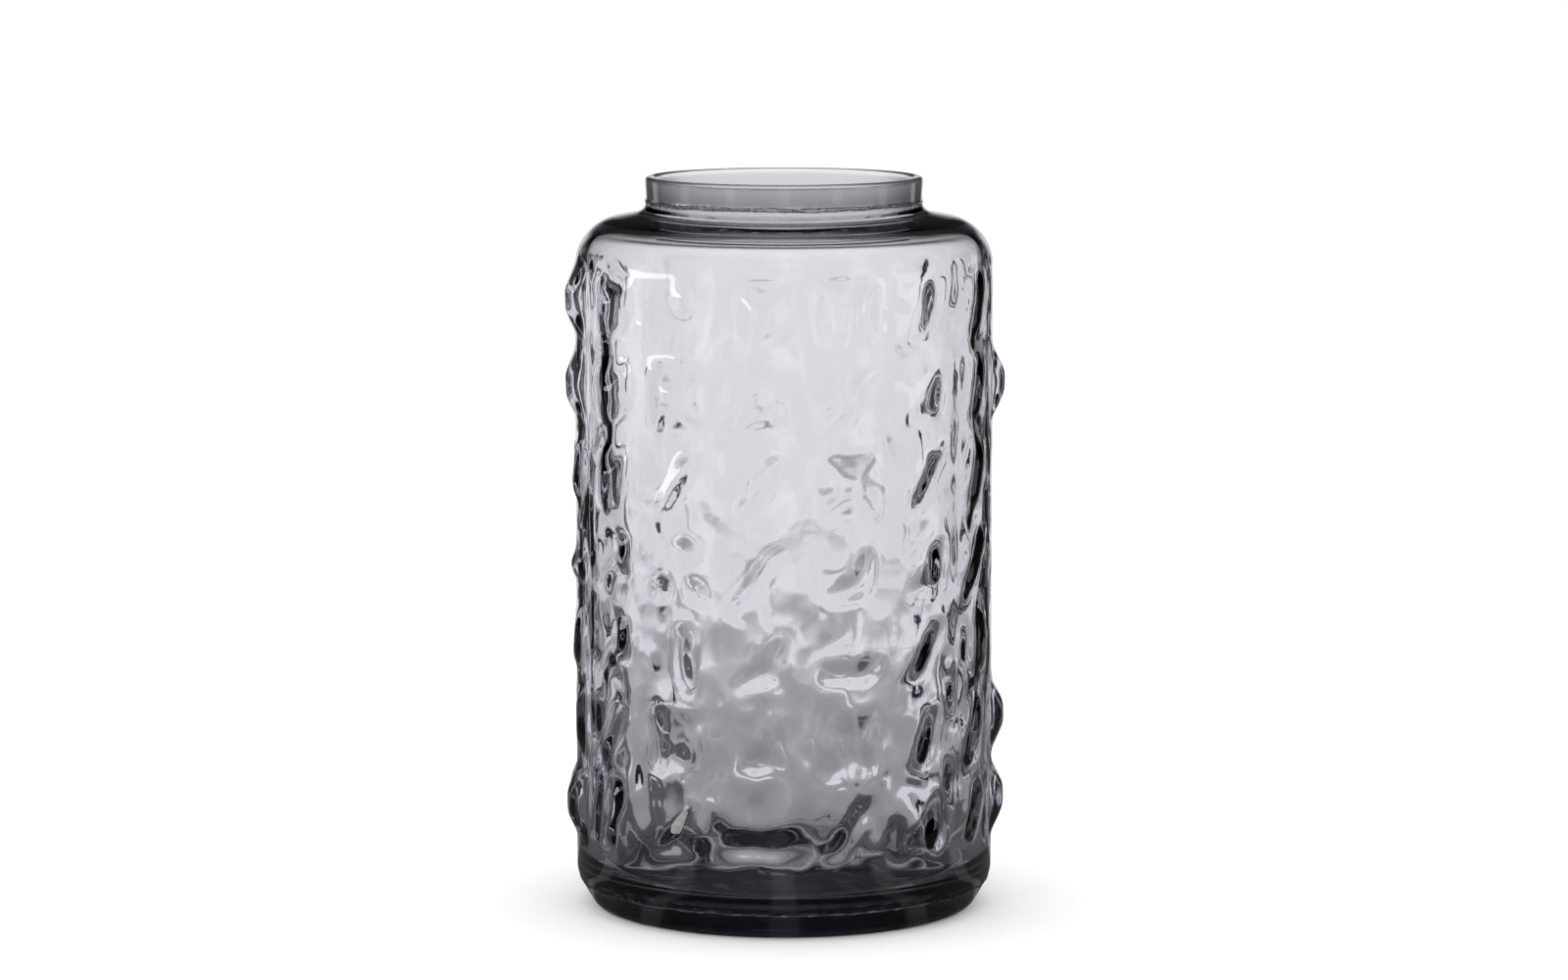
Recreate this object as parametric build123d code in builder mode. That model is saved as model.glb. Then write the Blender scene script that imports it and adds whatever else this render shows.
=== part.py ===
"""Cylinder vase of mould-blown glass: thick base, straight body with raised blocks, short neck.

The real vase is one piece of glass. It is described here as the sections that a glass maker
names, from the table up: base, heel, body wall, shoulder, neck and rim. They meet face to
face, and seven bands of raised blocks are seated on the outside of the body wall.
"""

from build123d import *
import math
import os

os.makedirs("parts", exist_ok=True)

# Overall sizes, in millimetres
height = 300.0              # table to the top of the rim
body_radius = 85.4          # outside of the plain wall, between the raised blocks
neck_radius = 56.4          # outside of the neck
neck_height = 13.9          # top of the shoulder to the top of the rim

# Glass thickness
wall = 4.5                  # body, at the shoulder
wall_low = 8.0              # body, at the inside floor, where the glass gathers
crown_wall = 3.9            # shoulder, where its inside starts to curve down
neck_wall = 3.9             # neck and rim
floor_height = 12.0         # table to the inside floor
push_up = 7.5               # hollow under the base, at its centre

# Foot and heel
heel_run = 7.75             # how far the heel's slope draws in from the body, at the table
heel_rise = 13.4            # height of the heel's slope
foot_round = 5.8
heel_round = 14.0
cavity_round = 12.0         # inside, between the floor and the wall

# Shoulder, neck and rim
crown_slope = 10.8          # degrees that the shoulder's top rises towards the neck
crown_slope_inside = 8.3    # the same inside, flatter, because the glass thickens at the neck
shoulder_round = 20.0
shoulder_round_inside = 14.0
neck_root_round = 5.0
neck_root_round_inside = 2.6
rim_height = 3.6
rim_bead = 0.4              # the fire-polished rim stands this proud of the neck
rim_round = 1.4

# Raised blocks
columns = 15
first_column = -54.3        # degrees from the front, positive to the right
relief_height = 5.0         # how far the blocks stand out of the wall
relief_low = 27.3           # table to the lower edge of the lowest band of cells
relief_overrun = 4.3        # the top band's cells run this far past the shoulder's start
cell_gap = 4.0              # plain wall between two full-size blocks
bevel_share = 0.2           # run of a block's sloping side, as a share of half its cell
seat_depth = 2.5            # how far inside the wall's face a block's outline is drawn

# Heights and radii that follow
inner_radius = body_radius - wall
inner_radius_low = body_radius - wall_low
mouth_radius = neck_radius - neck_wall
rim_radius = neck_radius + rim_bead
crown_tangent = math.tan(math.radians(crown_slope))
corner_tangent = math.tan(math.radians(90 - crown_slope) / 2)
inside_tangent = math.tan(math.radians(crown_slope_inside))
crown_drop = crown_wall / math.cos(math.radians(crown_slope))
neck_root = height - neck_height
shoulder_corner = neck_root - (body_radius - neck_radius) * crown_tangent
inner_corner = neck_root - (inner_radius - neck_radius) * crown_tangent - crown_drop
mouth_root = inner_corner + (inner_radius - mouth_radius) * inside_tangent
bearing_inner_radius = inner_radius_low - cavity_round
foot_corner_radius = body_radius - heel_run
dome_radius = (bearing_inner_radius**2 + push_up**2) / (2 * push_up)
heel_top = relief_low - cell_gap / 2
shoulder_start = shoulder_corner - shoulder_round * corner_tangent
neck_start = neck_root + neck_root_round * corner_tangent
rim_start = height - rim_height

# The whole wall of glass, from the axis outwards: the half-section that every piece is cut from
with BuildSketch(Plane.XZ) as glass_section:
    with BuildLine():
        RadiusArc((0, push_up), (bearing_inner_radius, 0), dome_radius)
        FilletPolyline(
            (bearing_inner_radius, 0),
            (foot_corner_radius, 0),
            (body_radius, heel_rise),
            (body_radius, shoulder_corner),
            (neck_radius, neck_root),
            (neck_radius, rim_start),
            (rim_radius, rim_start + rim_bead),
            (rim_radius, height),
            (mouth_radius, height),
            (mouth_radius, mouth_root),
            (inner_radius, inner_corner),
            (inner_radius_low, floor_height),
            (0, floor_height),
            radius=[
                foot_round,
                heel_round,
                shoulder_round,
                neck_root_round,
                0,
                0,
                rim_round,
                rim_round,
                neck_root_round_inside,
                shoulder_round_inside,
                cavity_round,
            ],
        )
        Line((0, floor_height), (0, push_up))
    make_face()

# Base: the thick disc inside the standing ring, hollowed a little underneath
with BuildPart() as base:
    with BuildSketch(Plane.XZ):
        add(glass_section.sketch_local)
        Rectangle(
            bearing_inner_radius,
            heel_top,
            align=(Align.MIN, Align.MIN),
            mode=Mode.INTERSECT,
        )
    revolve(axis=Axis.Z)

# Heel: the ring that the vase stands on, and the slope that widens to the body
with BuildPart() as heel:
    with BuildSketch(Plane.XZ):
        add(glass_section.sketch_local)
        with Locations((bearing_inner_radius, 0)):
            Rectangle(
                body_radius,
                heel_top,
                align=(Align.MIN, Align.MIN),
                mode=Mode.INTERSECT,
            )
    revolve(axis=Axis.Z)

# The tubular sections above the heel, each between two heights
section_heights = {
    "body_wall": (heel_top, shoulder_start),
    "shoulder": (shoulder_start, neck_start),
    "neck": (neck_start, rim_start),
    "rim": (rim_start, height),
}
pieces = {"base": base, "heel": heel}
for section_name, (section_low, section_high) in section_heights.items():
    with BuildPart() as section:
        with BuildSketch(Plane.XZ):
            add(glass_section.sketch_local)
            with Locations((0, section_low)):
                Rectangle(
                    body_radius,
                    section_high - section_low,
                    align=(Align.MIN, Align.MIN),
                    mode=Mode.INTERSECT,
                )
        revolve(axis=Axis.Z)
    pieces[section_name] = section

# Raised blocks. A shape is one or more convex outlines, in shares of half a cell: the first
# number runs to the right along the wall, the second runs up.
shapes = {
    "square": [[(-0.85, -0.95), (0.85, -0.95), (0.85, 0.95), (-0.85, 0.95)]],
    "notched": [[(-0.6, -0.85), (0.4, -0.85), (0.75, -0.45), (0.75, 0.85), (-0.6, 0.85)]],
    "slant": [[(-0.85, -0.85), (-0.1, -0.85), (0.85, 0.85), (0.1, 0.85)]],
    "lean": [[(-0.65, -0.9), (0.1, -0.9), (0.65, 0.85), (-0.1, 0.85)]],
    "post": [[(0.1, -0.9), (0.65, -0.9), (0.65, 0.9), (-0.1, 0.9), (-0.1, -0.5)]],
    "bar": [[(-0.9, -0.8), (0.6, -0.8), (0.9, -0.45), (0.9, 0.05), (-0.9, 0.05)]],
    "wedge": [[(-0.85, -0.8), (0.7, -0.8), (0.7, 0.75), (0.35, 0.75)]],
    "chip": [[(-0.1, -0.15), (0.65, -0.15), (0.65, 0.85), (-0.1, 0.85)]],
    "trio": [
        [(-0.1, 0.15), (0.65, 0.15), (0.65, 0.9), (-0.1, 0.9)],
        [(-0.7, -0.9), (0.0, -0.9), (0.0, -0.1), (-0.7, -0.1)],
        [(0.25, -0.9), (0.95, -0.9), (0.95, -0.1), (0.25, -0.1)],
    ],
    "hook": [
        [(0.15, -0.35), (0.8, -0.35), (0.8, 0.9), (0.15, 0.9)],
        [(-0.8, -0.85), (-0.1, -0.85), (0.8, 0.35), (0.15, 0.35)],
    ],
    "plain": [],
}

# The bands from the top down, each read to the right from the first column
bands = [
    "notched chip    notched square  lean   lean  plain  slant  notched chip   lean   square  wedge  square square",
    "notched square  wedge   slant   wedge  lean  square notched chip  slant   square wedge   lean   square square",
    "notched slant   slant   square  slant  lean  plain  square wedge  notched slant  chip    square post   lean",
    "hook    trio    slant   wedge   wedge  slant plain  wedge  trio   square  lean   slant   notched bar   bar",
    "hook    post    wedge   bar     slant  post  plain  lean   post   trio    notched hook   bar    chip   lean",
    "slant   square  wedge   square  lean   lean  square hook   square slant   post   square  wedge  lean   post",
    "lean    wedge   bar     slant   wedge  slant square slant  bar    wedge   slant  notched slant  square square",
]
row_pitch = (shoulder_start + relief_overrun - relief_low) / len(bands)
half_cell_width = (2 * math.pi * body_radius / columns - cell_gap) / 2
half_cell_height = (row_pitch - cell_gap) / 2
seat_radius = body_radius - seat_depth
relief_radius = body_radius + relief_height
bevel_run = bevel_share * min(half_cell_width, half_cell_height)
bevel_angle = math.degrees(math.atan2(bevel_run, relief_radius - seat_radius))

for row, band in enumerate(bands):
    row_centre = shoulder_start + relief_overrun - (row + 0.5) * row_pitch
    with BuildPart() as relief_row:
        for column, shape_name in enumerate(band.split()):
            turn = math.radians(first_column + column * 360 / columns)
            outward = Vector(math.sin(turn), -math.cos(turn), 0)
            along_wall = Vector(math.cos(turn), math.sin(turn), 0)
            seat_centre = outward * seat_radius + Vector(0, 0, row_centre)
            seat_plane = Plane(origin=seat_centre, x_dir=along_wall, z_dir=outward)
            for outline in shapes[shape_name]:
                corners = [(u * half_cell_width, v * half_cell_height) for u, v in outline]
                with BuildSketch(seat_plane):
                    with BuildLine():
                        Polyline(*corners, close=True)
                    make_face()
                extrude(amount=relief_radius - seat_radius, taper=bevel_angle)
        with BuildSketch(Plane.XY.offset(row_centre)):
            Circle(relief_radius)
            Circle(body_radius, mode=Mode.SUBTRACT)
        extrude(amount=row_pitch / 2, both=True, mode=Mode.INTERSECT)
    pieces[f"relief_row_{row + 1}"] = relief_row

for piece_name, piece in pieces.items():
    piece.part.label = piece_name
    export_step(piece.part, f"parts/{piece_name}.step")
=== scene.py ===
"""Smoky glass cylinder vase with bands of raised blocks, with its floor, light and camera."""

import math

import bpy
import numpy as np
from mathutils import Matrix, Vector


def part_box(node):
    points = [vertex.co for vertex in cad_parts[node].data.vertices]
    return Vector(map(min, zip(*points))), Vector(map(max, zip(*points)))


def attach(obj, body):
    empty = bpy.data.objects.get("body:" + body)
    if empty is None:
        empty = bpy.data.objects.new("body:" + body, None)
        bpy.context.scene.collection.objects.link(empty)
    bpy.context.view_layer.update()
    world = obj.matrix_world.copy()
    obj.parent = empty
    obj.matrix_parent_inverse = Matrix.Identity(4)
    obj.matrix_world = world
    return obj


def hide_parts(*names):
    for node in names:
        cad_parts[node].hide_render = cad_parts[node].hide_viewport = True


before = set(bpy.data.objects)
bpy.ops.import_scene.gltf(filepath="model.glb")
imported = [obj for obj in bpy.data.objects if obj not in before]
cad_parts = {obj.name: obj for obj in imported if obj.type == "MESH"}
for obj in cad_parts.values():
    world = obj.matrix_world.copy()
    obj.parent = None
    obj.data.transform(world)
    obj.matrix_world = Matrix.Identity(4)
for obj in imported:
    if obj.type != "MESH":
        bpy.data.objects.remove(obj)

bl_info = {
    "name": "Smoky Glass Cylinder Vase",
    "version": (1, 0, 0),
    "blender": (4, 5, 0),
    "location": "3D View > Sidebar > Vase",
    "description": "Builds a mould-blown glass vase with raised blocks, and a plain studio for it",
    "category": "Add Mesh",
}

MM = 0.001
PIECE_NAME = "glass_vase"


# ---------------------------------------------------------------------------------------------
# Sizes taken from the fixed frame
# ---------------------------------------------------------------------------------------------

def node_radii(node):
    """Smallest and largest distance of a node's points from the axis."""
    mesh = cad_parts[node].data
    points = np.empty(len(mesh.vertices) * 3, np.float32)
    mesh.vertices.foreach_get("co", points)
    radii = np.hypot(points[0::3], points[1::3])
    return float(radii.min()), float(radii.max())


def node_heights(node):
    """Lowest and highest point of a node."""
    low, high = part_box(node)
    return low.z, high.z


SHOULDER_START = node_heights("body_wall")[1]
WALL_OUTER = node_radii("body_wall")[1]
MOUTH_RADIUS, NECK_RADIUS = node_radii("neck")
RIM_RADIUS = node_radii("rim")[1]
BEARING_RADIUS = node_radii("base")[1]
RELIEF_RADIUS = max(node_radii(f"relief_row_{row + 1}")[1] for row in range(7))
FLOOR_HEIGHT = node_heights("base")[1]
NECK_START, RIM_START = node_heights("neck")
TOP = node_heights("rim")[1]
HEEL_PARTING = 11.0 * MM                # where the mould's base plate met its sides
NECK_PARTING = NECK_START - 0.3 * MM    # where the mould's sides met its neck ring
PARTING_MARKS = (                       # height and half width of each line of rough marks
    (HEEL_PARTING, 0.8 * MM),
    (NECK_PARTING, 0.7 * MM),
)


# ---------------------------------------------------------------------------------------------
# What a user can change
# ---------------------------------------------------------------------------------------------

def length(name, description, default):
    """A length property in metres."""
    return bpy.props.FloatProperty(
        name=name, description=description, default=default, min=0.0, unit="LENGTH", precision=4
    )


def share(name, description, default, most=1.0):
    """A plain number from 0 to most."""
    return bpy.props.FloatProperty(
        name=name, description=description, default=default, min=0.0, max=most, precision=3
    )


def angle(name, description, degrees):
    """An angle property, with its default given in degrees."""
    return bpy.props.FloatProperty(
        name=name, description=description, default=math.radians(degrees), subtype="ANGLE"
    )


class VaseShape(bpy.types.PropertyGroup):
    """Sizes of the glass that the frame's boxes don't give."""

    push_up: length("Push-up", "Hollow under the base at its centre", 7.5 * MM)
    foot_corner: length(
        "Foot corner", "Radius where the foot and the heel's slope would meet", 77.65 * MM
    )
    heel_rise: length("Heel rise", "Height of the heel's slope", 13.4 * MM)
    foot_round: length("Foot rounding", "Rounding between the foot and the heel", 5.8 * MM)
    heel_round: length("Heel rounding", "Rounding between the heel and the wall", 14.0 * MM)
    cavity_round: length("Cavity rounding", "Rounding inside, between floor and wall", 12.0 * MM)
    neck_height: length("Neck height", "Top of the shoulder to the top of the rim", 13.9 * MM)
    crown_slope: angle("Crown slope", "Rise of the shoulder's top towards the neck", 10.8)
    crown_slope_inside: angle(
        "Crown slope inside", "Rise of the shoulder's inside towards the neck", 8.3
    )
    wall: length("Wall", "Glass thickness of the body at the shoulder", 4.5 * MM)
    wall_low: length("Lower wall", "Glass thickness of the body at the inside floor", 8.0 * MM)
    crown_wall: length("Crown wall", "Glass thickness of the shoulder", 3.9 * MM)
    shoulder_round: length("Shoulder rounding", "Rounding of the shoulder, outside", 20.0 * MM)
    shoulder_round_inside: length(
        "Shoulder rounding inside", "Rounding of the shoulder, inside", 14.0 * MM
    )
    neck_root_round: length("Neck root", "Rounding where the neck starts, outside", 5.0 * MM)
    neck_root_round_inside: length(
        "Neck root inside", "Rounding where the neck starts, inside", 2.6 * MM
    )
    rim_round: length("Rim rounding", "Fire-polished rounding of the rim", 1.4 * MM)
    bead_round: length("Bead rounding", "Rounding at each end of the rim's flare", 20.0 * MM)
    parting_ridge: length(
        "Parting ridge", "Height of the rough line where two mould parts meet", 0.2 * MM
    )
    base_wave: length("Base wave", "Height of the uneven waves under the base", 1.3 * MM)


class ReliefShape(bpy.types.PropertyGroup):
    """The raised blocks, and how softly the glass took them from the mould."""

    first_column: angle("First column", "Turn of the first column from the front", -54.3)
    band_low: length("Band low edge", "Height of the lowest cell's lower edge", 27.3 * MM)
    overrun: length("Overrun", "How far the top cells run past the shoulder's start", 4.3 * MM)
    cell_gap: length("Cell gap", "Plain wall between two full-size blocks", 4.0 * MM)
    bevel: length("Bevel", "Run of a block's sloping side", 9.6 * MM)
    polish: length("Polish", "How softly the fire rounds every edge", 1.5 * MM)
    corner: length("Corner softness", "Rounding of a block's corners seen from outside", 1.3 * MM)
    follow: share("Inside follow", "How far the inside of the wall follows the blocks", 0.85)
    follow_blur: length("Follow blur", "How softly the inside follows the blocks", 2.4 * MM)
    ripple: length("Ripple", "Height of the waves that blowing leaves inside the wall", 0.18 * MM)
    skin_ripple: length("Skin ripple", "Height of the waves on the outside", 0.06 * MM)
    seam: length("Seam", "Height of the three mould seams", 0.22 * MM)


class GlassFinish(bpy.types.PropertyGroup):
    """Colour and surface of the smoky glass."""

    tint: bpy.props.FloatVectorProperty(
        name="Tint", description="Colour that the glass lets through", subtype="COLOR",
        size=3, min=0.0, max=1.0, default=(0.2, 0.16, 0.385),
    )
    density: bpy.props.FloatProperty(
        name="Density", description="Absorption for each metre of glass", default=25.5, min=0.0
    )
    ior: bpy.props.FloatProperty(
        name="IOR", description="Refraction of soda-lime glass", default=1.5
    )
    roughness: share("Roughness", "Roughness of the polished glass", 0.0)
    neck_satin: share("Neck satin", "Roughness of the neck's inside, fire-polished least", 0.4)
    # Painted shade: the neck's satin inside is greyed by the next value, and greyer at a slant by
    # the one after.
    neck_painted_shade: share("Neck shade", "Light that the neck's satin inside lets through", 0.75)
    neck_slant_painted_shade: share("Neck edge", "The same at a slant, through more of the satin", 0.05)
    line_depth: length("Line depth", "Depth of the rough marks along the parting lines", 1.2 * MM)
    dimple: length("Dimple", "Depth of the fine chill marks", 0.03 * MM)


class StudioLook(bpy.types.PropertyGroup):
    """Floor, light and camera."""

    floor_gray: share("Floor", "Grey of the floor, from black to white", 0.9)
    # Painted shadow: the table is painted darker by the vase than at its edge.
    table_near_painted_shadow: share("Table near", "Grey of the table by the vase, seen through the glass", 0.3)
    table_far: share("Table far", "Grey of the table's edge, seen through the glass", 0.36)
    # Painted shade: the table is painted darker towards the backdrop's gaps and lighter towards its
    # windows.
    table_gap_painted_shade: share("Table gap", "Grey of the table towards the backdrop's gaps", 0.08)
    table_roughness: share("Table roughness", "Roughness of the table seen through the glass", 0.3)
    table_radius: length("Table radius", "Where the table seen through the glass ends", 0.61)
    backdrop: share("Backdrop", "Strength of the bright backdrop", 1.0, 10.0)
    fill: share("Fill", "Strength of the soft light on the floor", 1.45, 10.0)
    window: angle("Window", "Half the angle of each bright part of the backdrop", 4.4)
    wide_window: angle("Wide window", "Half the angle of the main bright part, at the back", 18.4)
    gap_light: share("Gap light", "Light from the gaps, as a share of the backdrop's", 0.06)
    fade_start: angle("Fade start", "Angle above level where the backdrop starts to fade", 0.0)
    fade_end: angle("Fade end", "Angle above level where the backdrop is dark", 10.7)
    ceiling: share("Ceiling", "Light from above the backdrop, as a share of it", 0.03)
    overhead_start: angle("Overhead start", "Angle above level where overhead light begins", 45.0)
    overhead_full: angle("Overhead full", "Angle above level where overhead light is full", 60.0)
    overhead: share("Overhead", "Light from straight above, as a share of the backdrop's", 0.6)
    camera_distance: bpy.props.FloatProperty(
        name="Camera distance", description="Camera to the vase's axis, in vase heights",
        default=7.14,
    )
    camera_height: bpy.props.FloatProperty(
        name="Camera height", description="Camera above the floor, in vase heights", default=1.471
    )
    camera_tilt: angle("Camera tilt", "Downward tilt of the camera", 7.19)
    lens: bpy.props.FloatProperty(
        name="Lens", description="Focal length", default=120.8, unit="CAMERA"
    )


# ---------------------------------------------------------------------------------------------
# The glass as one closed surface
# ---------------------------------------------------------------------------------------------

COLUMNS = 15
AROUND = 20 * COLUMNS       # points around the vase, 20 for each column of blocks
ROWS_PER_BAND = 18          # points up the wall for each band of blocks
INNER_ROWS = 46             # points down the inside of the wall
DOME_RINGS = 12             # rings of points across the underside, closer towards its edge
FLOOR_RINGS = 5             # rings of points across the inside floor
FINE_STEP = 0.5 * MM        # spacing of points where a fine ridge runs
MOST_EXPONENT = 60          # keeps exp() within what a number can hold
MOULD_PARTS = 3             # sides of the mould, with a seam between each two
SEAM_WIDTH = 1.2 * MM
WALL_FADE = 8.0 * MM        # over this height the seams and ripples fade out at the wall's ends
BLOCK_FADE = 3.0 * MM       # the same for the blocks, at the top only
SKIN_WAVES = (30.0 * MM, 9.0 * MM)      # longest and shortest wave on the outside of the wall
INNER_WAVES = (60.0 * MM, 16.0 * MM)    # the same on its inside
LOWER_WAVES = 1.6           # how much higher the inside's waves are at the base
SKIN_SEED, INNER_SEED, BASE_SEED, HEEL_SEED, NECK_SEED = 3, 8, 21, 31, 41

# A shape is one or more convex outlines in shares of half a cell: right along the wall, then up.
SHAPES = {
    "square": [[(-0.85, -0.95), (0.85, -0.95), (0.85, 0.95), (-0.85, 0.95)]],
    "notched": [[(-0.6, -0.85), (0.4, -0.85), (0.75, -0.45), (0.75, 0.85), (-0.6, 0.85)]],
    "slant": [[(-0.85, -0.85), (-0.1, -0.85), (0.85, 0.85), (0.1, 0.85)]],
    "lean": [[(-0.65, -0.9), (0.1, -0.9), (0.65, 0.85), (-0.1, 0.85)]],
    "post": [[(0.1, -0.9), (0.65, -0.9), (0.65, 0.9), (-0.1, 0.9), (-0.1, -0.5)]],
    "bar": [[(-0.9, -0.8), (0.6, -0.8), (0.9, -0.45), (0.9, 0.05), (-0.9, 0.05)]],
    "wedge": [[(-0.85, -0.8), (0.7, -0.8), (0.7, 0.75), (0.35, 0.75)]],
    "chip": [[(-0.1, -0.15), (0.65, -0.15), (0.65, 0.85), (-0.1, 0.85)]],
    "trio": [
        [(-0.1, 0.15), (0.65, 0.15), (0.65, 0.9), (-0.1, 0.9)],
        [(-0.7, -0.9), (0.0, -0.9), (0.0, -0.1), (-0.7, -0.1)],
        [(0.25, -0.9), (0.95, -0.9), (0.95, -0.1), (0.25, -0.1)],
    ],
    "hook": [
        [(0.15, -0.35), (0.8, -0.35), (0.8, 0.9), (0.15, 0.9)],
        [(-0.8, -0.85), (-0.1, -0.85), (0.8, 0.35), (0.15, 0.35)],
    ],
    "plain": [],
}

# The bands from the top down, each read to the right from the first column.
BANDS = """\
notched chip notched square lean lean plain slant notched chip lean square wedge square square
notched square wedge slant wedge lean square notched chip slant square wedge lean square square
notched slant slant square slant lean plain square wedge notched slant chip square post lean
hook trio slant wedge wedge slant plain wedge trio square lean slant notched bar bar
hook post wedge bar slant post plain lean post trio notched hook bar chip lean
slant square wedge square lean lean square hook square slant post square wedge lean post
lean wedge bar slant wedge slant square slant bar wedge slant notched slant square square
""".splitlines()


def rounded_path(corners, radii, steps):
    """A polyline in the half-section plane with each inner corner replaced by a tangent arc.

    A corner between unit directions a and b, turned by the angle t, is cut back by
    radius * tan(t / 2) along both, and the arc's points are circle centre + radius * direction.
    Each straight run, with the arc at its end, is divided into pieces no longer than its step.
    """
    corners = np.asarray(corners, float)
    steps = np.broadcast_to(steps, len(corners) - 1)
    pieces = [corners[:1]]
    here = corners[0]
    turning = zip(corners, corners[1:-1], corners[2:], radii, steps)
    for before, corner, after, radius, step in turning:
        a = (corner - before) / np.linalg.norm(corner - before)
        b = (after - corner) / np.linalg.norm(after - corner)
        turn = math.atan2(a[0] * b[1] - a[1] * b[0], a @ b)
        cut = radius * math.tan(abs(turn) / 2)
        start = corner - a * cut
        pieces.append(straight(here, start, step))
        side = math.copysign(1.0, turn)
        centre = start + side * radius * np.array([-a[1], a[0]])
        count = max(3, int(abs(turn) * radius / step) + 1)
        angles = side * np.linspace(0, abs(turn), count + 1)[1:]
        arm = start - centre
        pieces.append(
            centre
            + np.cos(angles)[:, None] * arm
            + np.sin(angles)[:, None] * np.array([-arm[1], arm[0]])
        )
        here = pieces[-1][-1]
    pieces.append(straight(here, corners[-1], steps[-1]))
    return np.concatenate(pieces)


def straight(start, end, step):
    """Points after start up to end, evenly spaced, no further apart than step."""
    count = max(1, math.ceil(np.linalg.norm(end - start) / step - 1e-9))
    return start + (end - start) * np.linspace(0, 1, count + 1)[1:, None]


def outline_edges():
    """Every block outline as half-planes: for each band, column, outline and edge (nx, ny, c).

    A point p is inside where n . p - c is negative for all its edges. Unused edges hold a large
    c, so they never win, and unused outlines hold a large negative c, so nothing is inside them.
    """
    most_outlines = 3
    most_edges = 5
    edges = np.zeros((len(BANDS), COLUMNS, most_outlines, most_edges, 3))
    edges[..., 2] = -1.0
    for row, band in enumerate(BANDS):
        for column, shape_name in enumerate(band.split()):
            for number, outline in enumerate(SHAPES[shape_name]):
                points = np.array(outline) * half_cell()
                runs = np.roll(points, -1, axis=0) - points
                normals = np.stack([runs[:, 1], -runs[:, 0]], axis=1)
                normals /= np.linalg.norm(normals, axis=1)[:, None]
                cell = edges[row, column, number]
                cell[:, :2] = 0.0
                cell[:, 2] = 1.0
                cell[: len(points), :2] = normals
                cell[: len(points), 2] = (normals * points).sum(axis=1)
    return edges


def band_height():
    """Height of one band of cells."""
    relief = bpy.context.scene.vase_relief
    return (SHOULDER_START + relief.overrun - relief.band_low) / len(BANDS)


def half_cell():
    """Half the width and half the height that a full-size block may take."""
    gap = bpy.context.scene.vase_relief.cell_gap
    width = 2 * math.pi * WALL_OUTER / COLUMNS
    return (width - gap) / 2, (band_height() - gap) / 2


def smoothstep(x):
    """0 below 0, 1 above 1, and 3x^2 - 2x^3 between."""
    x = np.clip(x, 0, 1)
    return x * x * (3 - 2 * x)


def relief_height(turns, heights):
    """Height of the blocks above the wall on a grid of turns and heights.

    In each cell the distance inside an outline is the soft minimum of the distances to its
    edges, -k * log(sum(exp(-d / k))), which rounds the corners. A block rises in a straight
    slope, distance / bevel, up to 1, and outlines join as 1 - product(1 - height).
    """
    relief = bpy.context.scene.vase_relief
    step = 2 * math.pi / COLUMNS
    cell_column = (turns - relief.first_column) / step
    column = np.round(cell_column).astype(int)
    along = (cell_column - column) * step * WALL_OUTER
    top = SHOULDER_START + relief.overrun
    cell_row = (top - heights) / band_height() - 0.5
    row = np.clip(np.round(cell_row), 0, len(BANDS) - 1).astype(int)
    up = (row - cell_row) * band_height()
    edges = outline_edges()[row[:, None], column[None, :] % COLUMNS]
    distance = (
        edges[..., 0] * along[None, :, None, None]
        + edges[..., 1] * up[:, None, None, None]
        - edges[..., 2]
    )
    soft = relief.corner
    exponent = np.clip(distance / soft, -MOST_EXPONENT, MOST_EXPONENT)
    outside = soft * np.log(np.exp(exponent).sum(axis=-1))
    unused = edges[..., 0, 2] == -1.0
    raised = np.where(unused, 0.0, np.clip(-outside / relief.bevel, 0, 1))
    return (1 - np.prod(1 - raised, axis=-1)) * (RELIEF_RADIUS - WALL_OUTER)


def frequencies(rows, row_step, across, across_step):
    """Cycles per metre along both directions of a grid, as used by a Fourier transform."""
    up = np.fft.fftfreq(rows, row_step)[:, None]
    round_about = np.fft.fftfreq(across, across_step)[None, :]
    return up, round_about


def blurred(grid, row_step, across_step, blur):
    """The grid smoothed by a Gaussian of the given width, multiplied in frequency space."""
    up, about = frequencies(grid.shape[0], row_step, grid.shape[1], across_step)
    keep = np.exp(-2 * (math.pi * blur) ** 2 * (up**2 + about**2))
    return np.fft.ifft2(np.fft.fft2(grid) * keep).real


def ripples(rows, row_step, across, across_step, longest, shortest, seed):
    """Random waves between two wavelengths, with a spread of one.

    White noise is multiplied in frequency space by exp(-(f * shortest)^2) and by
    1 - exp(-(f * longest)^2), which keeps the waves between the two lengths.
    """
    noise = np.random.default_rng(seed).standard_normal((rows, across))
    up, about = frequencies(rows, row_step, across, across_step)
    squared = up**2 + about**2
    keep = np.exp(-squared * shortest**2) * (1 - np.exp(-squared * longest**2))
    waves = np.fft.ifft2(np.fft.fft2(noise) * keep).real
    return waves / waves.std()


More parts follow.
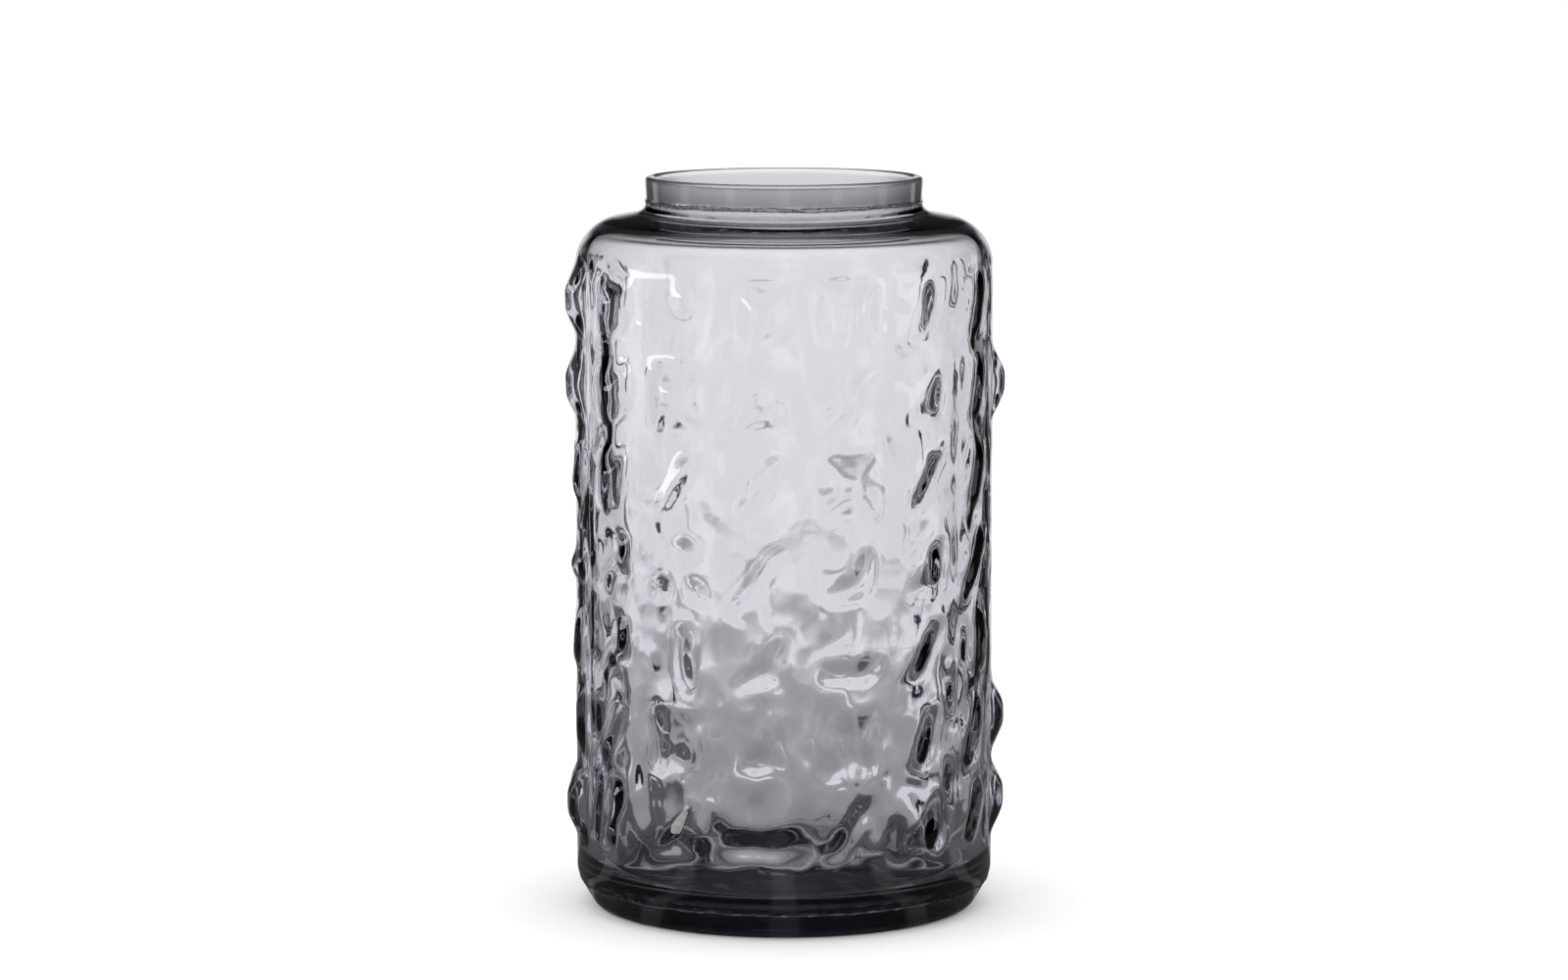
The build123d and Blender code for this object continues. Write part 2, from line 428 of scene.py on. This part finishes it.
def surface_of_revolution(name, profile, offsets, lifts):
    """A closed mesh from a half-section that starts and ends on the axis.

    Point (i, j) is at radius profile[i, 0] + offsets[i, j], height profile[i, 1] + lifts[i, j]
    and turn j, with x = r * sin(turn) and y = -r * cos(turn). Quads join neighbours, and a fan
    of triangles closes each pole.
    """
    turns = np.arange(AROUND) * 2 * math.pi / AROUND
    radius = profile[1:-1, 0, None] + offsets[1:-1]
    grid = np.stack(
        [
            radius * np.sin(turns),
            -radius * np.cos(turns),
            profile[1:-1, 1, None] + lifts[1:-1],
        ],
        axis=-1,
    )
    rings = len(grid)
    poles = np.array([[0, 0, profile[0, 1]], [0, 0, profile[-1, 1]]])
    points = np.concatenate([grid.reshape(-1, 3), poles])
    ring = np.arange(AROUND)
    after = (ring + 1) % AROUND
    base = (np.arange(rings - 1) * AROUND)[:, None]
    above = base + AROUND
    quads = np.stack([base + ring, base + after, above + after, above + ring], axis=-1)
    first_pole, last_pole = rings * AROUND, rings * AROUND + 1
    last_ring = (rings - 1) * AROUND
    start_fan = np.stack([np.full(AROUND, first_pole), after, ring], axis=-1)
    end_fan = np.stack([np.full(AROUND, last_pole), last_ring + ring, last_ring + after], axis=-1)
    corners = np.concatenate([quads.ravel(), start_fan.ravel(), end_fan.ravel()])
    sizes = np.concatenate([np.full(quads.size // 4, 4), np.full(2 * AROUND, 3)])
    starts = np.concatenate([[0], np.cumsum(sizes)[:-1]])
    mesh = bpy.data.meshes.new(name)
    mesh.vertices.add(len(points))
    mesh.vertices.foreach_set("co", points.astype(np.float32).ravel())
    mesh.loops.add(len(corners))
    mesh.loops.foreach_set("vertex_index", corners.astype(np.int32))
    mesh.polygons.add(len(sizes))
    mesh.polygons.foreach_set("loop_start", starts.astype(np.int32))
    mesh.polygons.foreach_set("use_smooth", np.ones(len(sizes), bool))
    mesh.update(calc_edges=True)
    mesh.validate()
    piece = bpy.data.objects.new(name, mesh)
    bpy.context.scene.collection.objects.link(piece)
    return piece


def vase_profile():
    """The half-section from the underside's centre, up the outside, over the rim and down inside.

    Returns its points and, for the outer and inner wall, the slices of rows that they take.
    The inside of the wall is a straight line, so the glass thins evenly from base to shoulder.
    Each path is given as its corners, the rounding of each inner corner, and the spacing of
    points along each run.
    """
    s = bpy.context.scene.vase_shape
    relief = bpy.context.scene.vase_relief
    slope, slope_inside = math.tan(s.crown_slope), math.tan(s.crown_slope_inside)
    inner_radius, inner_low = WALL_OUTER - s.wall, WALL_OUTER - s.wall_low
    neck_root = TOP - s.neck_height
    drop = s.crown_wall / math.cos(s.crown_slope)
    shoulder_corner = neck_root - (WALL_OUTER - NECK_RADIUS) * slope
    inner_corner = neck_root - (inner_radius - NECK_RADIUS) * slope - drop
    mouth_root = inner_corner + (inner_radius - MOUTH_RADIUS) * slope_inside
    inner_start = inner_corner - s.shoulder_round_inside - MM
    cavity_top = FLOOR_HEIGHT + s.cavity_round + MM

    def inside(heights):
        """Points of the wall's inside at the given heights."""
        radii = np.interp(heights, [FLOOR_HEIGHT, inner_corner], [inner_low, inner_radius])
        return np.stack([radii, heights], axis=-1)

    dome_radii = BEARING_RADIUS * np.sqrt(np.linspace(0, 1, DOME_RINGS + 1)[:-1])
    dome_heights = s.push_up * (1 - (dome_radii / BEARING_RADIUS) ** 2)
    dome = np.stack([dome_radii, dome_heights], axis=1)
    foot = rounded_path(
        [
            (BEARING_RADIUS, 0),
            (s.foot_corner, 0),
            (WALL_OUTER, s.heel_rise),
            (WALL_OUTER, relief.band_low),
        ],
        [s.foot_round, s.heel_round],
        [1.9 * MM, 0.9 * MM, 1.9 * MM],
    )
    row_step = band_height() / ROWS_PER_BAND
    wall_rows = len(BANDS) * ROWS_PER_BAND + 2
    wall_heights = relief.band_low + row_step * np.arange(1, wall_rows + 1)
    past = np.maximum(wall_heights - SHOULDER_START, 0)
    bend = s.shoulder_round - np.sqrt(s.shoulder_round**2 - past**2)
    outer_wall = np.stack([WALL_OUTER - bend, wall_heights], axis=1)
    upper = rounded_path(
        [
            (WALL_OUTER, SHOULDER_START),
            (WALL_OUTER, shoulder_corner),
            (NECK_RADIUS, neck_root),
            (NECK_RADIUS, NECK_START + MM),
            (RIM_RADIUS, RIM_START + 1.6 * MM),
            (RIM_RADIUS, TOP),
            (MOUTH_RADIUS, TOP),
            (MOUTH_RADIUS, mouth_root),
            (inner_radius, inner_corner),
            tuple(inside(inner_start)),
        ],
        [
            s.shoulder_round,
            s.neck_root_round,
            s.bead_round,
            s.bead_round,
            s.rim_round,
            s.rim_round,
            s.neck_root_round_inside,
            s.shoulder_round_inside,
        ],
        [
            1.8 * MM,
            FINE_STEP * 1.4,
            FINE_STEP,
            1.6 * MM,
            1.2 * MM,
            0.9 * MM,
            1.6 * MM,
            1.3 * MM,
            1.8 * MM,
        ],
    )
    upper = upper[np.argmax(upper[:, 1] > wall_heights[-1] + row_step / 2):]
    inner_wall = inside(np.linspace(inner_start, cavity_top, INNER_ROWS + 1)[1:])
    cavity = rounded_path(
        [
            tuple(inside(cavity_top)),
            (inner_low, FLOOR_HEIGHT),
            (inner_low - s.cavity_round - 2 * MM, FLOOR_HEIGHT),
        ],
        [s.cavity_round],
        2.6 * MM,
    )[1:]
    floor_radii = np.linspace(cavity[-1, 0], 0, FLOOR_RINGS + 1)[1:]
    floor = np.stack([floor_radii, np.full(FLOOR_RINGS, FLOOR_HEIGHT)], axis=1)
    parts = [dome, foot, outer_wall, upper, inner_wall, cavity, floor]
    ends = np.cumsum([len(part) for part in parts])
    return np.concatenate(parts), slice(ends[1], ends[2]), slice(ends[3], ends[4])


def parting_line(profile, height, seed):
    """A rough raised line round the outside, where two parts of the mould met.

    Its section is exp(-((z - centre) / width)^2). The centre wanders up and down and the height
    of the ridge varies, both with smooth noise round the vase.
    """
    ridge = bpy.context.scene.vase_shape.parting_ridge
    across_step = 2 * math.pi * NECK_RADIUS / AROUND
    wander = 0.3 * MM * ripples(1, 1.0, AROUND, across_step, 14 * MM, 3 * MM, seed)
    rough = 1 + 0.45 * ripples(1, 1.0, AROUND, across_step, 8 * MM, 2.5 * MM, seed + 1)
    outside = np.arange(len(profile)) < np.argmax(profile[:, 1])
    width = 0.7 * MM
    section = np.exp(-(((profile[:, 1, None] - height - wander) / width) ** 2))
    return ridge * section * rough * outside[:, None]


def base_waves(profile):
    """How far the uneven glass under the base is lifted, in a ring near the standing ring.

    The lift is height * (1 + tanh(noise)) / 2 * exp(-((r - centre) / width)^2), never below 0.
    """
    wave = bpy.context.scene.vase_shape.base_wave
    across_step = 2 * math.pi * BEARING_RADIUS / AROUND
    noise = ripples(1, 1.0, AROUND, across_step, 40 * MM, 9 * MM, BASE_SEED)
    centre, width = 0.88 * BEARING_RADIUS, 0.07 * BEARING_RADIUS
    ring = np.exp(-(((profile[:, 0] - centre) / width) ** 2))
    under = np.arange(len(profile)) < DOME_RINGS
    return wave * (1 + np.tanh(noise)) / 2 * (ring * under)[:, None]


def wall_offsets(profile, outer, inner):
    """How far each point of the wall stands off its plain cylinder.

    Outside: the blocks, the seams and a faint ripple. Inside: the same blocks blurred and
    scaled down, and a stronger ripple that grows towards the base.
    """
    relief = bpy.context.scene.vase_relief
    turns = np.arange(AROUND) * 2 * math.pi / AROUND
    across_step = 2 * math.pi * WALL_OUTER / AROUND
    heights = profile[outer, 1]
    row_step = heights[1] - heights[0]
    blocks = blurred(relief_height(turns, heights), row_step, across_step, relief.polish)
    part_angle = 2 * math.pi / MOULD_PARTS
    seam_turn = relief.first_column - math.pi / COLUMNS
    from_seam = (turns - seam_turn + part_angle / 2) % part_angle - part_angle / 2
    seams = relief.seam * np.exp(-((from_seam * WALL_OUTER / SEAM_WIDTH) ** 2))
    rows = len(heights)
    from_low, from_high = heights - heights[0], heights[-1] - heights
    ends = smoothstep(from_low / WALL_FADE) * smoothstep(from_high / WALL_FADE)
    blocks *= smoothstep(from_high / BLOCK_FADE)[:, None]
    skin = ripples(rows, row_step, AROUND, across_step, *SKIN_WAVES, SKIN_SEED)
    inside = ripples(rows, row_step, AROUND, across_step, *INNER_WAVES, INNER_SEED)
    lower = 1 + LOWER_WAVES * (1 - from_low / (heights[-1] - heights[0]))[:, None] ** 2
    offsets = parting_line(profile, HEEL_PARTING, HEEL_SEED)
    offsets += parting_line(profile, NECK_PARTING, NECK_SEED)
    offsets[outer] += blocks + (seams[None, :] + relief.skin_ripple * skin) * ends[:, None]
    behind = relief.follow * blurred(blocks, row_step, across_step, relief.follow_blur)
    behind += relief.ripple * inside * lower
    behind *= ends[:, None]
    place = np.interp(profile[inner, 1], heights, np.arange(rows))
    below = np.clip(np.floor(place).astype(int), 0, rows - 2)
    part = (place - below)[:, None]
    offsets[inner] = behind[below] * (1 - part) + behind[below + 1] * part
    return offsets


# ---------------------------------------------------------------------------------------------
# Materials
# ---------------------------------------------------------------------------------------------

CHILL_SCALE, FINE_CHILL_SCALE = 90.0, 260.0     # noise scales of the chill marks
FINE_CHILL_SHARE = 0.2
CHILL_STRENGTH = 0.35
WANDER_SCALE, WANDER = 60.0, 2.5 * MM           # how a parting line strays up and down
MARK_SCALE = 420.0                              # noise scale of the marks along it
SATIN_RADII = (MOUTH_RADIUS + 2.2 * MM, MOUTH_RADIUS + 2.8 * MM)    # inside to outside
SATIN_LOW = (NECK_START - 6.0 * MM, NECK_START - 2.0 * MM)
SATIN_HIGH = (TOP - 2.5 * MM, TOP - 1.0 * MM)
PAINTED_SHADE_SLANT = (0.3, 0.85)                             # from seen straight on to seen at a slant, where the neck's painted shade deepens
WINDOWS = 8                                     # bright parts of the backdrop all round
EYE_WHITE = 1.1                                 # strength of the plain background itself


class NodeMaker:
    """Adds maths nodes to a node tree, so that a formula reads as one line."""

    def __init__(self, tree):
        self.nodes, self.links = tree.nodes, tree.links

    def add(self, kind, **values):
        """A node of the given kind, its inputs given by name, with _ for a space."""
        node = self.nodes.new(kind)
        for name, value in values.items():
            self.give(node.inputs[name.replace("_", " ")], value)
        return node

    def give(self, socket, value):
        """Link a socket to a node's output, or set it to a plain value."""
        if isinstance(value, bpy.types.NodeSocket):
            self.links.new(value, socket)
        else:
            socket.default_value = value

    def maths(self, operation, *values):
        """One maths node."""
        node = self.nodes.new("ShaderNodeMath")
        node.operation = operation
        for socket, value in zip(node.inputs, values):
            self.give(socket, value)
        return node.outputs["Value"]

    def ramp(self, value, low, high, from_low, to_high):
        """A smooth step that runs from from_low at low to to_high at high."""
        node = self.nodes.new("ShaderNodeMapRange")
        node.interpolation_type = "SMOOTHSTEP"
        self.give(node.inputs["Value"], value)
        node.inputs["From Min"].default_value = low
        node.inputs["From Max"].default_value = high
        node.inputs["To Min"].default_value = from_low
        node.inputs["To Max"].default_value = to_high
        return node.outputs["Result"]

    def gray(self, value):
        """A colour with the same value in all three channels."""
        node = self.add("ShaderNodeCombineColor", Red=value, Green=value, Blue=value)
        return node.outputs["Color"]

    def mix(self, factor, first, second):
        """A plain number between first and second."""
        node = self.nodes.new("ShaderNodeMix")
        self.give(node.inputs["Factor"], factor)
        self.give(node.inputs["A"], first)
        self.give(node.inputs["B"], second)
        return node.outputs["Result"]


def blown_surface_group():
    """Fine chill marks of blown glass: two scales of noise that give a height."""
    group = bpy.data.node_groups.new("Blown surface", "ShaderNodeTree")
    group.interface.new_socket("Position", in_out="INPUT", socket_type="NodeSocketVector")
    scale = group.interface.new_socket("Scale", in_out="INPUT", socket_type="NodeSocketFloat")
    scale.default_value = CHILL_SCALE
    group.interface.new_socket("Height", in_out="OUTPUT", socket_type="NodeSocketFloat")
    make = NodeMaker(group)
    given = group.nodes.new("NodeGroupInput")
    wide = make.add("ShaderNodeTexNoise", Vector=given.outputs["Position"],
                    Scale=given.outputs["Scale"], Detail=1.0, Roughness=0.35)
    fine = make.add("ShaderNodeTexNoise", Vector=given.outputs["Position"],
                    Scale=FINE_CHILL_SCALE, Detail=2.0)
    blend = make.mix(FINE_CHILL_SHARE, wide.outputs["Fac"], fine.outputs["Fac"])
    result = group.nodes.new("NodeGroupOutput")
    make.give(result.inputs["Height"], blend)
    return group


def parting_marks_group():
    """Rough marks along a level line: noise kept within a narrow, wandering band of heights."""
    group = bpy.data.node_groups.new("Parting marks", "ShaderNodeTree")
    group.interface.new_socket("Position", in_out="INPUT", socket_type="NodeSocketVector")
    group.interface.new_socket("Line height", in_out="INPUT", socket_type="NodeSocketFloat")
    group.interface.new_socket("Half width", in_out="INPUT", socket_type="NodeSocketFloat")
    group.interface.new_socket("Height", in_out="OUTPUT", socket_type="NodeSocketFloat")
    make = NodeMaker(group)
    given = group.nodes.new("NodeGroupInput")
    position = given.outputs["Position"]
    axes = make.add("ShaderNodeSeparateXYZ", Vector=position)
    wander = make.add("ShaderNodeTexNoise", Vector=position, Scale=WANDER_SCALE, Detail=2.0)
    shift = make.maths("MULTIPLY", make.maths("SUBTRACT", wander.outputs["Fac"], 0.5), WANDER)
    level = make.maths("SUBTRACT", axes.outputs["Z"], given.outputs["Line height"])
    away = make.maths("ABSOLUTE", make.maths("ADD", level, shift))
    share_away = make.maths("DIVIDE", away, given.outputs["Half width"])
    band = make.ramp(share_away, 0.25, 1.0, 1.0, 0.0)
    noise = make.add("ShaderNodeTexNoise", Vector=position, Scale=MARK_SCALE, Detail=3.0)
    marks = make.ramp(noise.outputs["Fac"], 0.3, 0.7, 0.2, 1.0)
    result = group.nodes.new("NodeGroupOutput")
    make.give(result.inputs["Height"], make.maths("MULTIPLY", band, marks))
    return group


def smoke_glass():
    """Clear glossy glass that absorbs light through its depth, with faint marks of its making, and
    painted shade on its neck's satin inside, greyer at a slant.
    """
    finish = bpy.context.scene.vase_finish
    material = bpy.data.materials.new("smoke_glass")
    material.use_nodes = True
    nodes, links = material.node_tree.nodes, material.node_tree.links
    make = NodeMaker(material.node_tree)
    shader = nodes["Principled BSDF"]
    shader.inputs["Metallic"].default_value = 0.0
    shader.inputs["Transmission Weight"].default_value = 1.0
    shader.inputs["IOR"].default_value = finish.ior
    position = nodes.new("ShaderNodeTexCoord").outputs["Object"]

    surface = nodes.new("ShaderNodeGroup")
    surface.node_tree = blown_surface_group()
    links.new(position, surface.inputs["Position"])
    chill = make.add("ShaderNodeBump", Strength=CHILL_STRENGTH, Distance=finish.dimple,
                     Height=surface.outputs["Height"])
    marks_group = parting_marks_group()
    marks = []
    for height, half_width in PARTING_MARKS:
        line = nodes.new("ShaderNodeGroup")
        line.node_tree = marks_group
        links.new(position, line.inputs["Position"])
        line.inputs["Line height"].default_value = height
        line.inputs["Half width"].default_value = half_width
        marks.append(line.outputs["Height"])
    rough_lines = make.add("ShaderNodeBump", Strength=1.0, Distance=finish.line_depth,
                           Height=make.maths("MAXIMUM", *marks), Normal=chill.outputs["Normal"])
    links.new(rough_lines.outputs["Normal"], shader.inputs["Normal"])

    axes = make.add("ShaderNodeSeparateXYZ", Vector=position)
    flat = make.add("ShaderNodeCombineXYZ", X=axes.outputs["X"], Y=axes.outputs["Y"])
    from_axis = nodes.new("ShaderNodeVectorMath")
    from_axis.operation = "LENGTH"
    links.new(flat.outputs["Vector"], from_axis.inputs[0])
    inside = make.ramp(from_axis.outputs["Value"], *SATIN_RADII, 1.0, 0.0)
    above = make.ramp(axes.outputs["Z"], *SATIN_LOW, 0.0, 1.0)
    below = make.ramp(axes.outputs["Z"], *SATIN_HIGH, 1.0, 0.0)
    satin = make.maths("MULTIPLY", make.maths("MULTIPLY", inside, above), below)
    make.give(shader.inputs["Roughness"], make.mix(satin, finish.roughness, finish.neck_satin))
    # Painted shade: inside the neck's satin band the glass is greyed, and greyer still where Layer
    # Weight finds it seen at a slant.
    facing = make.add("ShaderNodeLayerWeight", Blend=0.5).outputs["Facing"]
    slant = make.ramp(facing, *PAINTED_SHADE_SLANT, 0.0, 1.0)
    shade = make.mix(slant, finish.neck_painted_shade, finish.neck_slant_painted_shade)
    clear = make.mix(satin, 1.0, shade)
    make.give(shader.inputs["Base Color"], make.gray(clear))
    smoke = nodes.new("ShaderNodeVolumeAbsorption")
    smoke.inputs["Color"].default_value = (*finish.tint, 1)
    smoke.inputs["Density"].default_value = finish.density
    links.new(smoke.outputs["Volume"], nodes["Material Output"].inputs["Volume"])
    return material


def windows_group():
    """How bright the backdrop is in the direction of a vector: 1 in a window, low in a gap."""
    look = bpy.context.scene.vase_studio
    group = bpy.data.node_groups.new("Backdrop windows", "ShaderNodeTree")
    group.interface.new_socket("Direction", in_out="INPUT", socket_type="NodeSocketVector")
    group.interface.new_socket("Light", in_out="OUTPUT", socket_type="NodeSocketFloat")
    make = NodeMaker(group)
    given = group.nodes.new("NodeGroupInput")
    result = group.nodes.new("NodeGroupOutput")
    axes = group.nodes.new("ShaderNodeSeparateXYZ")
    group.links.new(given.outputs["Direction"], axes.inputs["Vector"])
    azimuth = make.maths("ARCTAN2", axes.outputs["X"], axes.outputs["Y"])
    turns = make.maths("MULTIPLY", azimuth, WINDOWS / (2 * math.pi))
    off_centre = make.maths("ABSOLUTE", make.maths("SUBTRACT", turns, make.maths("ROUND", turns)))
    half_window = math.degrees(look.window) / 360 * WINDOWS
    windows = make.ramp(off_centre, half_window * 0.8, half_window * 1.25, 1.0, look.gap_light)
    main = make.ramp(
        make.maths("ABSOLUTE", azimuth), look.wide_window * 0.9, look.wide_window * 1.15, 1.0, 0.0
    )
    group.links.new(make.maths("MAXIMUM", windows, main), result.inputs["Light"])
    return group


def floor_paint(windows):
    """Matt pale floor; the glass shows a round greyer table, and the backdrop past its edge. The
    table carries painted light towards the backdrop's windows, painted shade towards its gaps and a
    painted shadow by the vase.
    """
    look = bpy.context.scene.vase_studio
    material = bpy.data.materials.new("pale_floor")
    material.use_nodes = True
    tree = material.node_tree
    make = NodeMaker(tree)
    matt = tree.nodes["Principled BSDF"]
    matt.inputs["Base Color"].default_value = (*[look.floor_gray] * 3, 1)
    matt.inputs["Roughness"].default_value = 1.0
    matt.inputs["Specular IOR Level"].default_value = 0.0
    table = tree.nodes.new("ShaderNodeBsdfPrincipled")
    table.inputs["Roughness"].default_value = look.table_roughness
    table.inputs["Specular IOR Level"].default_value = 0.0
    path = tree.nodes.new("ShaderNodeLightPath")
    where = tree.nodes.new("ShaderNodeTexCoord")
    distance = tree.nodes.new("ShaderNodeVectorMath")
    distance.operation = "LENGTH"
    tree.links.new(where.outputs["Object"], distance.inputs[0])
    reach = distance.outputs["Value"]
    sector = tree.nodes.new("ShaderNodeGroup")
    sector.node_tree = windows
    tree.links.new(where.outputs["Object"], sector.inputs["Direction"])
    # Painted light and shade: the table is painted lighter towards the backdrop's windows and under
    # the vase, and darker towards its gaps.
    under = make.ramp(reach, BEARING_RADIUS, WALL_OUTER, 1.0, 0.0)
    window_painted_light = make.maths("MAXIMUM", sector.outputs["Light"], under)
    near = make.mix(window_painted_light, look.table_gap_painted_shade, look.table_near_painted_shadow)
    far = make.mix(window_painted_light, look.table_gap_painted_shade, look.table_far)
    # Painted shadow: the table's grey runs from darker by the vase to lighter at its edge.
    gray = make.mix(make.ramp(reach, WALL_OUTER, look.table_radius, 0.0, 1.0), near, far)
    make.give(table.inputs["Base Color"], make.gray(gray))
    edge = make.ramp(reach, look.table_radius * 0.7, look.table_radius * 1.5, 1.0, 0.0)
    clear = tree.nodes.new("ShaderNodeBsdfTransparent")
    beyond = tree.nodes.new("ShaderNodeMixShader")
    tree.links.new(edge, beyond.inputs["Fac"])
    tree.links.new(clear.outputs["BSDF"], beyond.inputs[1])
    tree.links.new(table.outputs["BSDF"], beyond.inputs[2])
    blend = tree.nodes.new("ShaderNodeMixShader")
    tree.links.new(path.outputs["Is Camera Ray"], blend.inputs["Fac"])
    tree.links.new(beyond.outputs["Shader"], blend.inputs[1])
    tree.links.new(matt.outputs["BSDF"], blend.inputs[2])
    tree.links.new(blend.outputs["Shader"], tree.nodes["Material Output"].inputs["Surface"])
    return material


def studio_world(windows):
    """White all round; for glass, a bright backdrop with darker gaps, dark above it, then light."""
    look = bpy.context.scene.vase_studio
    world = bpy.data.worlds.new("studio")
    bpy.context.scene.world = world
    world.use_nodes = True
    tree = world.node_tree
    make = NodeMaker(tree)
    where = tree.nodes.new("ShaderNodeTexCoord")
    axes = tree.nodes.new("ShaderNodeSeparateXYZ")
    tree.links.new(where.outputs["Generated"], axes.inputs["Vector"])
    sector = tree.nodes.new("ShaderNodeGroup")
    sector.node_tree = windows
    tree.links.new(where.outputs["Generated"], sector.inputs["Direction"])
    side = sector.outputs["Light"]
    rise = axes.outputs["Z"]
    fade = math.sin(look.fade_start), math.sin(look.fade_end)
    high = make.ramp(rise, *fade, 1.0, look.ceiling)
    begin = math.sin(look.overhead_start), math.sin(look.overhead_full)
    overhead = make.ramp(rise, *begin, 0.0, look.overhead)
    bright = make.maths("ADD", make.maths("MULTIPLY", side, high), overhead)
    seen = make.maths("MULTIPLY", bright, look.backdrop)
    path = tree.nodes.new("ShaderNodeLightPath")
    soft = make.mix(path.outputs["Is Diffuse Ray"], seen, look.fill)
    strength = make.mix(path.outputs["Is Camera Ray"], soft, EYE_WHITE)
    tree.nodes["Background"].inputs["Color"].default_value = (1, 1, 1, 1)
    tree.links.new(strength, tree.nodes["Background"].inputs["Strength"])


# ---------------------------------------------------------------------------------------------
# Operators
# ---------------------------------------------------------------------------------------------

class VASE_OT_build_glass(bpy.types.Operator):
    """Make the vase as one closed skin of glass, with its blocks, seams and ripples"""

    bl_idname = "vase.build_glass"
    bl_label = "Build glass vase"
    bl_options = {"REGISTER", "UNDO"}

    def execute(self, context):
        profile, outer, inner = vase_profile()
        offsets = wall_offsets(profile, outer, inner)
        piece = surface_of_revolution(PIECE_NAME, profile, offsets, base_waves(profile))
        piece.data.materials.append(smoke_glass())
        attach(piece, "root")
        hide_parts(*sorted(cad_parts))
        return {"FINISHED"}


FLOOR_REACH = 6.0
SENSOR_WIDTH = 36.0
GLASS_BOUNCES = 24          # light passes many walls and blocks before it leaves the vase
SOFTBOXES = {               # place, aim, width and height in metres, then watts
    "left_softbox": ((-1.6, -0.25, 0.31), (0, 0, 0.31), (1.2, 0.2), 4),
    "right_softbox": ((1.6, -0.6, 0.3), (0, 0, 0.3), (0.5, 0.4), 1),
}


def area_light(name, place, aim, size, watts):
    """A rectangular soft light at place, turned to face aim, and not seen through the glass."""
    lamp = bpy.data.lights.new(name, "AREA")
    lamp.shape = "RECTANGLE"
    lamp.size, lamp.size_y = size
    lamp.energy = watts
    light = bpy.data.objects.new(name, lamp)
    light.location = place
    light.rotation_euler = (Vector(aim) - Vector(place)).to_track_quat("-Z", "Y").to_euler()
    light.visible_transmission = False
    bpy.context.scene.collection.objects.link(light)


class VASE_OT_build_studio(bpy.types.Operator):
    """Make the pale floor, the backdrop, the soft lights and the camera"""

    bl_idname = "vase.build_studio"
    bl_label = "Build studio"
    bl_options = {"REGISTER", "UNDO"}

    def execute(self, context):
        look = context.scene.vase_studio
        mesh = bpy.data.meshes.new("floor")
        signs = [(-1, -1), (1, -1), (1, 1), (-1, 1)]
        corners = [(x * FLOOR_REACH, y * FLOOR_REACH, 0) for x, y in signs]
        mesh.from_pydata(corners, [], [(0, 1, 2, 3)])
        windows = windows_group()
        mesh.materials.append(floor_paint(windows))
        floor = bpy.data.objects.new("floor", mesh)
        context.scene.collection.objects.link(floor)
        studio_world(windows)
        for name, values in SOFTBOXES.items():
            area_light(name, *values)
        camera_data = bpy.data.cameras.new("camera")
        camera_data.lens = look.lens
        camera_data.sensor_width = SENSOR_WIDTH
        camera = bpy.data.objects.new("camera", camera_data)
        camera.location = (0, -look.camera_distance * TOP, look.camera_height * TOP)
        camera.rotation_euler = (math.pi / 2 - look.camera_tilt, 0, 0)
        context.scene.collection.objects.link(camera)
        context.scene.camera = camera
        context.scene.view_settings.view_transform = "Standard"
        context.scene.cycles.max_bounces = GLASS_BOUNCES
        context.scene.cycles.transmission_bounces = GLASS_BOUNCES
        return {"FINISHED"}


class VASE_PT_panel(bpy.types.Panel):
    """Sidebar panel with the vase's operators and values"""

    bl_idname = "VASE_PT_panel"
    bl_label = "Vase"
    bl_space_type = "VIEW_3D"
    bl_region_type = "UI"
    bl_category = "Vase"

    def draw(self, context):
        self.layout.operator(VASE_OT_build_glass.bl_idname)
        self.layout.operator(VASE_OT_build_studio.bl_idname)
        for group_name in GROUPS:
            box = self.layout.box()
            group = getattr(context.scene, group_name)
            for value_name in group.bl_rna.properties.keys():
                if value_name not in ("rna_type", "name"):
                    box.prop(group, value_name)


GROUPS = {
    "vase_shape": VaseShape,
    "vase_relief": ReliefShape,
    "vase_finish": GlassFinish,
    "vase_studio": StudioLook,
}
CLASSES = (*GROUPS.values(), VASE_OT_build_glass, VASE_OT_build_studio, VASE_PT_panel)


def register():
    """Register the classes and hang the value groups on the scene."""
    for cls in CLASSES:
        bpy.utils.register_class(cls)
    for name, cls in GROUPS.items():
        setattr(bpy.types.Scene, name, bpy.props.PointerProperty(type=cls))


def unregister():
    """Undo register."""
    for name in GROUPS:
        delattr(bpy.types.Scene, name)
    for cls in reversed(CLASSES):
        bpy.utils.unregister_class(cls)


def main():
    """Build everything in order."""
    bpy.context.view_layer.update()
    register()
    bpy.ops.vase.build_glass()
    bpy.ops.vase.build_studio()
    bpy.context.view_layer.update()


if __name__ == "__main__":
    main()
